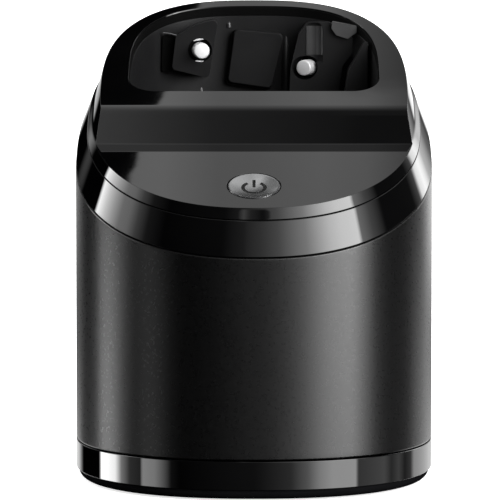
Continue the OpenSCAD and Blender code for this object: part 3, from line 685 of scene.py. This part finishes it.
# Dark skin on the wall of the mouth: painted shade, which hides the reflections of the cover's glossy hole
# wall
shade_skin_profile = [(0.02, 0.35), (0.36, 0.45), (0.38, 3.1), (-0.3, 3.1), (-0.3, 0.5)]
shade_skin = loft("mouth_painted_shade", [on_plane(mouth(i), RIM_H - depth) for i, depth in shade_skin_profile], closed=True)
soften(shade_skin, 0)
piece(shade_skin, "housing", "gloss_black", material="lining_black")

# Locating lips behind the two seams
for name, inset, low, high in (("cover_lip", 6.2, -4, 1.9), ("collar_lip", 2.5, -14, -8)):
    corners = [(inset, low), (inset, high), (inset + 1.5, high), (inset + 1.5, low)]
    lip = loft(name, sloping_rings(corners), closed=True)
    soften(lip, 0)
    piece(lip, "housing", "gloss_black", material="base_black")

# ------------------------------------------------------------------ start button with its power sign
BUTTON_R, CAP_R = 8.5, 8.16
DISH_LOW, DISH_R = -0.78, 34.0
ICON_R, ICON_LINE = 3.55, 1.1
ICON_GAP = math.radians(36)


def icon_shapes(grow, low, high, tag):
    """The power sign, a broken ring and a bar, with its outline moved outwards by grow."""
    reach = ICON_LINE / 2 + grow
    opening = ICON_GAP - grow / ICON_R
    band = arc_band(ICON_R - reach, ICON_R + reach, math.pi / 2 + opening, 2.5 * math.pi - opening)
    arc = prism("icon_arc" + tag, band, low, high)
    stroke = box_points(ICON_LINE - 0.15 + 2 * grow, 4.3 + 2 * grow, 0.28, cy=2.7)
    return arc, prism("icon_bar" + tag, stroke, low, high)


dish_steps = (0, 1, 2, 3, 4, 5, 6, 7, 7.6, 8.0)
cap_profile = [(r, DISH_LOW + DISH_R - math.sqrt(DISH_R**2 - r * r)) for r in dish_steps]
cap_profile += [(8.12, 0.17), (CAP_R, 0.06), (CAP_R, -2.0), (0.0, -2.0)]
button = lathe("start_button_cap", cap_profile, 96, closed=False)
# The rim round the cap is dark plastic: painted shade for the dark gap round the cap
rim_profile = [(CAP_R, -2.2), (CAP_R, 0.04), (8.22, 0.1), (8.34, 0.08), (8.45, -0.02), (BUTTON_R, -0.18)]
rim_profile += [(BUTTON_R, -4.3), (7.0, -4.3), (7.0, -2.2)]
button_rim = move(lathe("start_button_rim", rim_profile, 96), FACE_FRAME)
soften(button_rim, 0)
piece(button_rim, "start_button", "button_grey", material="base_black")
boolean(button, icon_shapes(0.04, -1.15, 3, "_cut"))
move(button, FACE_FRAME)
tidy(button, 0.005)
soften(button, 0)
piece(button, "start_button", "button_grey", "start_button")
for obj in icon_shapes(0, -1.3, -0.76, ""):
    move(obj, FACE_FRAME)
    soften(obj, 0)
    piece(obj, "start_button", "button_grey", material="icon_dark")

# ------------------------------------------------------------------ cleaning tub
TUB_RIM_H = RIM_H - ROOF_DROP - 0.8
TUB_INSET, TUB_FLOOR_R = 0.4, 5.0
FLANGE_OUT, FLANGE_H = -2.0, 1.6
rings = [at_height(mouth(-1.6), TUB_FLOOR - 2)]
rings += [on_plane(mouth(i), TUB_RIM_H - drop) for i, drop in (
    (-1.6, FLANGE_H), (FLANGE_OUT, FLANGE_H), (FLANGE_OUT, 0), (0.25, 0), (TUB_INSET, 0.2), (TUB_INSET, 6))]
for a in np.linspace(0, math.pi / 2, 7):
    inset = TUB_INSET + TUB_FLOOR_R * (1 - math.cos(a))
    rings.append(at_height(mouth(inset), TUB_FLOOR + TUB_FLOOR_R * (1 - math.sin(a))))
tub = loft("cleaning_tub_liner", rings)
drain = prism("drain", circle_points(3.6, 24, 20), TUB_FLOOR - 5, TUB_FLOOR + 5)
inflow = prism("inlet_hole", circle_points(1.8, 12, 3), TUB_FLOOR - 5, TUB_FLOOR + 5)
boolean(tub, [drain, inflow])
tidy(tub)
soften(tub, 0)
piece(tub, "housing", "tub_black", "cleaning_tub")

WALL_BACK = MOUTH_REAR + 2.6


def wall_block(name, corners, radius, face_y, edge=0.6, cuts=(), inside=0.5):
    """A raised block on the tub's rear wall, from the corners of its face as (x, z)."""
    obj = prism(name, rounded(corners, radius, 6), face_y, WALL_BACK, "y")
    boolean(obj, prism("wall_limit", mouth(inside), 60, 200), "INTERSECT")
    boolean(obj, cuts)
    tidy(obj, 0.02)
    soften(obj, edge, 3, 40)
    return obj


def pin_frame(tip, yaw):
    """The frame of a charging pin: its tip at the origin, the pin behind it along -Z."""
    turned = Matrix.Rotation(math.radians(yaw), 4, "Z") @ Matrix.Rotation(math.pi / 2, 4, "X")
    return Matrix.Translation(Vector(tip) * MM) @ turned


def pin_bore(tip, yaw, steps):
    """Cutters for the stepped hole round a charging pin: steps of (radius, depth behind the tip)."""
    cutters = [lathe("bore", [(r, -depth), (r, 20)], 64, closed=False) for r, depth in steps]
    return [move(cutter, pin_frame(tip, yaw)) for cutter in cutters]


LEFT_TIP, LEFT_YAW, LEFT_LEN = (-17.7, 36.5, 138.9), 8, 12.0
RIGHT_TIP, RIGHT_YAW, RIGHT_LEN = (16.8, 42.0, 132.8), -24, 7.5
BORE_R, PIN_HOLE_R = 4.05, 2.85
left_face = [(-26.6, 143.8), (-19.8, 147.6), (-12.2, 149.6), (-15.4, 129.2), (-28.0, 132.4)]
left = wall_block("contact_block_left_body", left_face, [1.2, 3, 1.5, 1.5, 1.5], 41.5, 0.7,
                  pin_bore(LEFT_TIP, LEFT_YAW, [(BORE_R, 6.6), (PIN_HOLE_R, 16)]))
piece(left, "housing", "tub_black", "contact_block_left")
# The block's left wing gets the near-black material: painted shade on that side of the block
wing_face = [(-31.2, 144.0), (-25.0, 143.4), (-26.4, 131.4), (-31.6, 131.2)]
wing = wall_block("contact_block_left_wing", wing_face, 0.9, 44.4, 0.5)
piece(wing, "housing", "tub_black", material="lining_black")
# A thin grey metal bar along the wing's top edge: a painted highlight on that edge
glint_route = [(-31.0, 44.2, 144.5), (-28.8, 43.9, 144.3), (-26.4, 43.2, 143.7)]
wing_glint = tube_along("contact_block_left_glint", glint_route, 0.34, 12)
soften(wing_glint, 0)
piece(wing_glint, "housing", "tub_black", material="button_grey")

plate_face = [(-6.7, 145.6), (10.4, 144.0), (6.0, 125.2), (-9.2, 127.4)]
plate_shadow_outline = [(-7.7, 145.4), (9.8, 143.6), (5.6, 124.4), (-10.1, 126.6)]
plate = wall_block("tub_plate", plate_face, 1.8, 50.2, 0.5)
piece(plate, "housing", "tub_black", "tub_rear_plate")
# A near-black sheet behind the plate, showing past its left and lower edges: a painted shadow round the plate
plate_shadow = wall_block("tub_plate_painted_shadow", plate_shadow_outline, 2.0, 51.6, 0.2)
piece(plate_shadow, "housing", "tub_black", material="lining_black")

# Round channel down the right block to its pin, with a lighter skin on its right side as painted light and a
# darker skin on its left side as painted shade
CHANNEL_X, CHANNEL_Y, CHANNEL_TOP, CHANNEL_R = 20.5, 41.0, 145.6, 3.65
channel_foot = RIGHT_TIP[2] + 2.0
channel = prism("channel", circle_points(CHANNEL_R, CHANNEL_X, CHANNEL_Y), channel_foot, CHANNEL_TOP)
end_profile = [(CHANNEL_R * math.sin(a), CHANNEL_R * math.cos(a)) for a in np.linspace(0, math.pi, 13)]
channel_end = lathe("channel_end", end_profile, 48, closed=False)
shift(channel_end, CHANNEL_X, CHANNEL_Y, CHANNEL_TOP)
right_face = [(15.2, 144.2), (18.0, 148.2), (26.0, 148.4), (30.5, 144.0), (35.6, 142.6), (33.4, 137.4),
              (30.2, 133.4), (28.9, 124.4), (28.7, 122.5), (12.0, 122.5), (12.5, 133.0)]
right_radii = [2.5, 2.5, 2.5, 1.5, 0.6, 3, 3, 3, 0.6, 0.6, 2]
right_cuts = [channel, channel_end] + pin_bore(RIGHT_TIP, RIGHT_YAW, [(BORE_R, 5.6), (PIN_HOLE_R, 12)])
right = wall_block("contact_block_right_body", right_face, right_radii, 43.0, 0.7, right_cuts)
piece(right, "housing", "tub_black", "contact_block_right")
for side, start, end, look in (("right", 38, 76, "channel_light"), ("left", 76, 142, "channel_dark")):
    band = arc_band(3.3, 3.62, math.radians(start), math.radians(end), 10, CHANNEL_X, CHANNEL_Y)
    skin = prism("pin_channel_" + side, band, channel_foot + 2.4, CHANNEL_TOP + 2.2)
    soften(skin, 0)
    piece(skin, "housing", "tub_black", material=look)

# Shoulder of the right block in painted light, curved side panel and upright ribs on the wall in a painted
# sheen
# The shoulder gets the lighter channel material: painted light
shoulder_face = [(26.6, 148.6), (35.2, 147.2), (35.8, 145.4), (31.8, 142.7), (28.0, 144.0), (26.4, 146.3)]
shoulder = wall_block("contact_block_right_shoulder", shoulder_face, 0.5, 41.2, 0.3)
piece(shoulder, "housing", "tub_black", material="channel_light")
panel_face = [(37.4, 142.8), (42.0, 140.0), (42.0, 118.0), (30.6, 118.0), (30.7, 125.0), (31.9, 132.6),
              (35.0, 137.8)]
side_panel = wall_block("tub_side_panel", panel_face, [1.2, 1, 1, 1, 8, 6, 4], 30.0, inside=1.6)
piece(side_panel, "housing", "tub_black")
# (x, y, radius, foot, height where the rib starts to fade into the wall, length of the fade)
RIBS = [(11.0, 54.9, 1.9, TUB_FLOOR, 130.0, 14.0), (-18.4, 53.9, 1.6, TUB_FLOOR, 121.0, 7.0),
        (-8.7, 54.4, 1.0, 146.0, 146.8, 1.2)]
# The ribs are in a lighter copy of the tub plastic: a painted sheen on the wall
for k, (x, y, radius, foot_z, top, reach) in enumerate(RIBS):
    fade = [(radius * (1 - 0.45 * u * u), top + reach * u) for u in np.linspace(0, 1, 9)]
    rib_profile = [(0, foot_z), (radius, foot_z)] + fade + [(0, top + reach)]
    rib = lathe("tub_rib_%d" % k, rib_profile, 32, closed=False)
    shift(rib, x, y)
    soften(rib, 0)
    piece(rib, "housing", "tub_black", material="tub_sheen")


def charging_pin(side, tip, yaw, length):
    """A pin with an eased tip and a thinner tail, which rides and stands for the pin of its side."""
    profile = [(0, 0.02), (2.2, 0.0), (2.42, -0.06), (2.58, -0.2), (2.68, -0.4), (2.7, -0.7), (2.7, -length)]
    profile += [(2.5, -length - 0.2), (1.2, -length - 0.2), (1.2, -length - 6), (0, -length - 6)]
    pin = move(lathe("charging_pin_" + side, profile, 64, closed=False), pin_frame(tip, yaw))
    soften(pin, 0)
    piece(pin, "contact_pin_" + side, "contact_metal", "contact_pin_" + side)


charging_pin("left", LEFT_TIP, LEFT_YAW, LEFT_LEN)
charging_pin("right", RIGHT_TIP, RIGHT_YAW, RIGHT_LEN)

# Black rubber seals round the pins, darkened to near black as painted shade in the bores, and two steel
# crescents round the left pin as painted highlights on the rim of its bore
for k, (tip, yaw, depth) in enumerate([(LEFT_TIP, LEFT_YAW, 5.9), (RIGHT_TIP, RIGHT_YAW, 5.0)]):
    seal_profile = [(3.95, -depth - 0.6), (3.95, -depth), (3.4, -depth + 0.15)]
    seal_profile += [(2.82, -depth - 0.1), (2.82, -depth - 0.6)]
    seal = move(lathe("pin_seal_%d" % k, seal_profile, 64), pin_frame(tip, yaw))
    soften(seal, 0)
    piece(seal, "housing", "seal_rubber", *(["pin_seals"] if k == 0 else []), material="lining_black")
# Two steel crescents just inside the left bore: painted highlights at the top and bottom of its rim
RIM_GLINT_R = 3.98
rim_glint_taper = 0.3 + 0.7 * np.sin(np.linspace(0, math.pi, 17))
for k, (start, end, width) in enumerate([(72, 126, 0.6), (246, 288, 0.44)]):
    band = arc_band(RIM_GLINT_R - width * rim_glint_taper, RIM_GLINT_R, math.radians(start), math.radians(end), 16)
    rim_glint = move(prism("pin_finger_%d" % k, band, -5.2, -4.7), pin_frame(LEFT_TIP, LEFT_YAW))
    soften(rim_glint, 0)
    piece(rim_glint, "housing", "seal_rubber", material="ring_steel")

# ------------------------------------------------------------------ rear: lift button, bezel and power inlet
bezel = prism("lift_bezel", box_points(23.7, 15.7, 2.1, cy=LIFT_Z), REAR_Y - 3.6, REAR_Y - 0.4, "y")
boolean(bezel, prism("bezel_hole", box_points(19.8, 11.8, 1.9, cy=LIFT_Z), 0, 90, "y"))
soften(bezel, 0.35, 3)
piece(bezel, "housing", "gloss_black", "lift_button_bezel")

cap = prism("lift_button_cap", box_points(19.2, 11.2, 1.7, cy=LIFT_Z), REAR_Y - 4.2, REAR_Y - 0.8, "y")
flange = prism("lift_button_flange", box_points(21.6, 13.6, 1.2, cy=LIFT_Z), REAR_Y - 5.2, REAR_Y - 4.0, "y")
boolean(cap, flange, "UNION")
groove_shapes = [box_points(12.5, 0.7, 0.34, cy=LIFT_Z + 1.7 * k) for k in (-1, 0, 1)]
boolean(cap, [prism("grip", shape, REAR_Y - 1.2, REAR_Y, "y") for shape in groove_shapes])
tidy(cap)
soften(cap, 0.4, 3)
piece(cap, "lift_button", "lift_button_grey", "lift_button")

SOCKET_FACE, POLE_X, WELL_DEPTH = 62.4, 4.3, 9.0
block_shape = box_points(21.4, 13.4, 1.6, cx=SOCKET_X, cy=SOCKET_Z)
inlet_block = prism("power_inlet_block", block_shape, SOCKET_FACE - 12, SOCKET_FACE, "y")
well_shapes = [circle_points(4.4, SOCKET_X + side * POLE_X, SOCKET_Z) for side in (-1, 1)]
well_shapes.append(box_points(2 * POLE_X, 7.6, 0.2, cx=SOCKET_X, cy=SOCKET_Z))
boolean(inlet_block, [prism("well", shape, SOCKET_FACE - WELL_DEPTH, 90, "y") for shape in well_shapes])
tidy(inlet_block, 0.03)
soften(inlet_block, 0.35, 3)
piece(inlet_block, "housing", "socket_black", "power_socket")
inlet_pin_profile = [(0, 13.5), (0.7, 13.45), (1.05, 13.2), (1.2, 12.8), (1.2, 0), (0, 0)]
for side in (-1, 1):
    contact = lathe("inlet_pin_%s" % ("left" if side < 0 else "right"), inlet_pin_profile, 32, closed=False)
    move(contact, Matrix.Rotation(-math.pi / 2, 4, "X"))
    shift(contact, SOCKET_X + side * POLE_X, SOCKET_FACE - 15, SOCKET_Z)
    soften(contact, 0)
    piece(contact, "housing", "contact_metal", *(["socket_pins"] if side < 0 else []))

# ------------------------------------------------------------------ lift springs
COLUMN_X, SPRING_LOW, SPRING_HIGH = 49.5, 12.6, 92.9
SPRING_TURNS, STEPS_PER_TURN, SPRING_R, WIRE_R = 16, 20, 2.7, 0.45
t = np.linspace(0, 1, SPRING_TURNS * STEPS_PER_TURN + 1)
a = 2 * math.pi * SPRING_TURNS * t
spring_z = SPRING_LOW + WIRE_R + (SPRING_HIGH - SPRING_LOW - 2 * WIRE_R) * t
for side in (-1, 1):
    route = np.stack([side * COLUMN_X + SPRING_R * np.cos(a), WIDEST_Y + SPRING_R * np.sin(a), spring_z], 1)
    spring = tube_along("lift_spring_%s" % ("left" if side < 0 else "right"), route, WIRE_R, 8)
    spring.data.shade_smooth()
    finish_with(spring, "spring_steel")
    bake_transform(spring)
    if side < 0:
        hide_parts("lift_springs")

# ------------------------------------------------------------------ floor, world and light
FLOOR_REACH = 30000
floor_corners = [(FLOOR_REACH * i, FLOOR_REACH * j, 0) for i, j in ((-1, -1), (1, -1), (1, 1), (-1, 1))]
floor = make("floor", floor_corners, [(0, 1, 2, 3)])
mat, tree, shader, coords = new_material("floor_paper")
paper_grain = two_tone(tree, noise(tree, coords, 3, 4), (0.93, 0.93, 0.93), (0.95, 0.95, 0.95))
tree.links.new(paper_grain, shader.inputs["Base Color"])
shader.inputs["Roughness"].default_value = 1.0
shader.inputs["Specular IOR Level"].default_value = 0.0
shader.inputs["Emission Color"].default_value = (1, 1, 1, 1)
shader.inputs["Emission Strength"].default_value = 0.72
floor.data.materials.append(mat)
floor.visible_glossy = False
floor.visible_diffuse = False

world = bpy.data.worlds.new("studio")
bpy.context.scene.world = world
world.use_nodes = True
world_tree = world.node_tree
world_tree.nodes.clear()


def world_node(kind, **values):
    """A node of the world's tree, with its settings."""
    node = world_tree.nodes.new(kind)
    for key, value in values.items():
        setattr(node, key, value)
    return node


def calc(operation, *args):
    """A math node; each argument is a number or a socket."""
    node = world_node("ShaderNodeMath", operation=operation)
    for i, a in enumerate(args):
        if isinstance(a, (int, float)):
            node.inputs[i].default_value = a
        else:
            world_tree.links.new(a, node.inputs[i])
    return node.outputs[0]


def product(first, *others):
    """Several sockets multiplied together."""
    for other in others:
        first = calc("MULTIPLY", first, other)
    return first


def rest_of(share):
    """What a share leaves of 1."""
    return calc("SUBTRACT", 1.0, share)


def smooth(value, start, end, low=0.0, high=1.0, kind="SMOOTHSTEP"):
    """Goes from low to high as value goes from start to end."""
    node = world_node("ShaderNodeMapRange", interpolation_type=kind)
    world_tree.links.new(value, node.inputs["Value"])
    for key, v in (("From Min", start), ("From Max", end), ("To Min", low), ("To Max", high)):
        node.inputs[key].default_value = v
    return node.outputs["Result"]


def between(value, start, full, fade, end):
    """1 between full and fade, falling smoothly to 0 at start and at end."""
    return product(smooth(value, start, full), smooth(value, fade, end, 1.0, 0.0))


def tone_ramp(value, stops):
    """Brightness read off a list of (position, brightness) stops."""
    start, end = stops[0][0], stops[-1][0]
    ramp = world_node("ShaderNodeValToRGB")
    world_tree.links.new(smooth(value, start, end, kind="LINEAR"), ramp.inputs["Fac"])
    peak = max(v for _, v in stops)
    elements = ramp.color_ramp.elements
    for position, _ in stops[1:-1]:
        elements.new((position - start) / (end - start))
    for element, (_, v) in zip(elements, stops):
        element.color = (v / peak, v / peak, v / peak, 1)
    return calc("MULTIPLY", ramp.outputs["Color"], peak)


direction = world_node("ShaderNodeSeparateXYZ")
world_tree.links.new(world_node("ShaderNodeTexCoord").outputs["Generated"], direction.inputs[0])
wx, wy, wz = direction.outputs
DEGREES = 180 / math.pi
azimuth = calc("MULTIPLY", calc("ARCTAN2", wx, calc("MULTIPLY", wy, -1.0)), DEGREES)
elevation = calc("MULTIPLY", calc("ARCSINE", wz), DEGREES)
turn = calc("ABSOLUTE", azimuth)
sideways = calc("ABSOLUTE", wx)

# Brightness of the upright panels round the object: (azimuth in degrees, brightness). The high rows
# are for what looks upwards, the low rows for what looks along the ground, and the level rows lie
# between them, where only the matt body looks.
HIGH_PANELS = [
    (-180, 0.12), (-172, 0.15), (-160, 1.5), (-148, 1.2), (-136, 0.0), (-115, 0.0), (-113, 13.0), (-105, 8.5),
    (-97, 5.3), (-89, 2.7), (-81, 2.4), (-73, 0.9), (-64, 0.15), (-50, 0.0), (-12, 0.03), (-3, 0.22),
    (9, 1.4), (24, 4.3), (40, 11.0), (48, 13.0), (61, 14.0), (63, 3.0), (73, 1.1), (85, 0.03), (118, 0.04),
    (127, 0.5), (131, 6.0), (138, 6.0), (148, 2.2), (160, 1.6), (172, 0.15), (180, 0.12),
]
LOW_PANELS = [
    (-180, 0.5), (-168, 1.1), (-160, 1.1), (-150, 0.0), (-120, 0.0), (-117.5, 14.0), (-100, 14.0), (-93, 3.0),
    (-84, 0.5), (-73, 0.3), (-71, 4.6), (-60, 4.0), (-47, 0.1), (-40, 0.0), (0, 0.08), (16, 0.5), (26, 1.9),
    (34, 4.6), (43, 6.3), (62, 6.3), (64, 0.7), (80, 0.9), (90, 1.0), (98, 0.3), (107, 0.6), (115, 0.12),
    (124, 0.3), (129, 1.8), (160, 1.2), (170, 0.8), (180, 0.5),
]
LEVEL_PANELS = [
    (-180, 1.0), (-168, 0.8), (-152, 0.4), (-146, 0.0), (-98, 0.0), (-91, 1.5), (-83, 0.8), (-76, 0.0),
    (50, 0.0), (58, 5.5), (72, 7.5), (77, 0.0), (140, 0.0), (150, 1.6), (165, 2.2), (180, 1.0),
]

# Brightness of the overhead panel across its width, in its rear part and in its front part: (sideways
# part of the direction, brightness)
REAR_TONES = [(-0.15, 1.2), (-0.02, 1.1), (-0.008, 0.8), (0.0, 0.8), (0.015, 0.95), (0.025, 0.85),
              (0.035, 0.45), (0.045, 0.45), (0.07, 0.8), (0.15, 0.9)]
FRONT_TONES = [(-0.16, 0.1), (-0.075, 0.15), (-0.04, 1.0), (-0.01, 0.3), (0.015, 0.15), (0.04, 0.15),
               (0.09, 0.8), (0.16, 1.0)]

# Upright panels: the low row is a strip, narrower on the left and at the right, wider behind the object
left_half = smooth(azimuth, -30, -10, 1.0, 0.0)
high_share = smooth(calc("SUBTRACT", elevation, calc("MULTIPLY", left_half, 6.0)), -1.5, 9)
off_centre = calc("MAXIMUM", left_half, smooth(azimuth, 64, 72))
strip_top = calc("MAXIMUM", smooth(elevation, -7.8, -7.3, 1.0, 0.0), rest_of(off_centre))
strip_foot = calc("MAXIMUM", smooth(elevation, -9.9, -9.3), smooth(turn, 142, 155))
high = product(tone_ramp(azimuth, HIGH_PANELS), high_share)
low = product(tone_ramp(azimuth, LOW_PANELS), strip_foot, strip_top, rest_of(high_share))
level = product(tone_ramp(azimuth, LEVEL_PANELS), between(elevation, -6.2, -5.2, -1.5, 0.5))
rows = calc("ADD", calc("ADD", high, low), level)
top_edge = calc("ADD", elevation, smooth(sideways, 0.045, 0.1, 3.7, 0.0))
upright = product(rows, smooth(elevation, -24, -12), smooth(top_edge, 42.5, 45, 1.0, 0.0))

# Overhead panel with a slanting left edge at the back, and dimmer at its right corner
slant = calc("ADD", wx, calc("MULTIPLY", calc("SUBTRACT", wz, 0.76), 0.64))
rear_edge = calc("MAXIMUM", smooth(slant, -0.0122, -0.011), smooth(wx, -0.1, -0.06, 0.22, 0.0))
rear_side = smooth(wy, -0.3, 0.36)
rear_tone = product(tone_ramp(wx, REAR_TONES), rear_edge, rear_side)
front_tone = product(tone_ramp(wx, FRONT_TONES), rest_of(rear_side))
right_corner = product(smooth(wz, 0.7745, 0.7708), smooth(wx, 0.014, 0.026, 0.0, 0.4))
overhead = product(calc("ADD", rear_tone, front_tone), smooth(top_edge, 42.5, 45),
                   smooth(sideways, 0.55, 0.75, 1.0, 0.15), rest_of(right_corner))

# Low glow behind the object, so that its rear isn't lost in the dark
glow = product(smooth(turn, 108, 140, 0.0, 2.0), smooth(turn, 146, 180, 1.0, 0.35),
               between(elevation, -45, -26, -14, -10))

# What the camera sees past the floor is plain white
studio = world_node("ShaderNodeBackground")
studio.inputs["Color"].default_value = (1, 1, 1, 1)
world_tree.links.new(calc("ADD", calc("ADD", upright, overhead), glow), studio.inputs["Strength"])
paper = world_node("ShaderNodeBackground")
paper.inputs["Color"].default_value = (1, 1, 1, 1)
paper.inputs["Strength"].default_value = 1.0
choose = world_node("ShaderNodeMixShader")
world_tree.links.new(world_node("ShaderNodeLightPath").outputs["Is Camera Ray"], choose.inputs[0])
world_tree.links.new(studio.outputs[0], choose.inputs[1])
world_tree.links.new(paper.outputs[0], choose.inputs[2])
world_tree.links.new(choose.outputs[0], world_node("ShaderNodeOutputWorld").inputs["Surface"])
